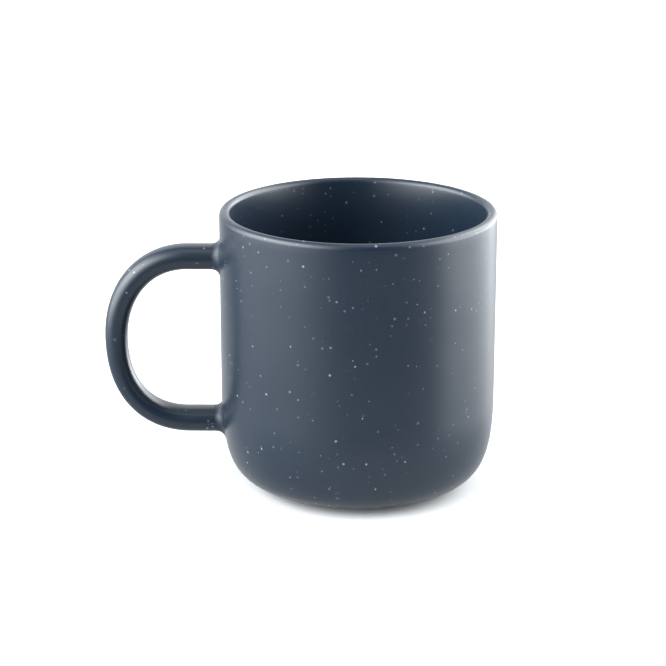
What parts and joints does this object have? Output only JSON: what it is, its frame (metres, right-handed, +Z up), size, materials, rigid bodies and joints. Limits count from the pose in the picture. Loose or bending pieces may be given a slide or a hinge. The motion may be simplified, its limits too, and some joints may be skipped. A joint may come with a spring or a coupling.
{
  "type": "mug",
  "caption": "Straight-walled stoneware mug with a soft rounded heel, an inset foot ring, a rounded lip and a D-shaped handle with an oval grip.",
  "frame": {"origin": "on the table plane, under the middle of the whole footprint, cup and handle together; the cup's own axis stands 17.97 mm towards +X from it", "axes": "+Z up along the cup's axis, out of the mouth; the handle points to -X and lies in the XZ plane; +Y completes the right-handed frame"},
  "size_m": [0.121, 0.085, 0.087],
  "materials": {
    "glaze": "satin slate-blue glaze with small pale speckles",
    "slip_fillet": "the same satin glaze over a sponged fillet of joining slip"
  },
  "bodies": {
    "root": {"cup_body": "glaze", "handle": "glaze", "upper_slip_joint": "slip_fillet", "lower_slip_joint": "slip_fillet"}
  },
  "joints": []
}
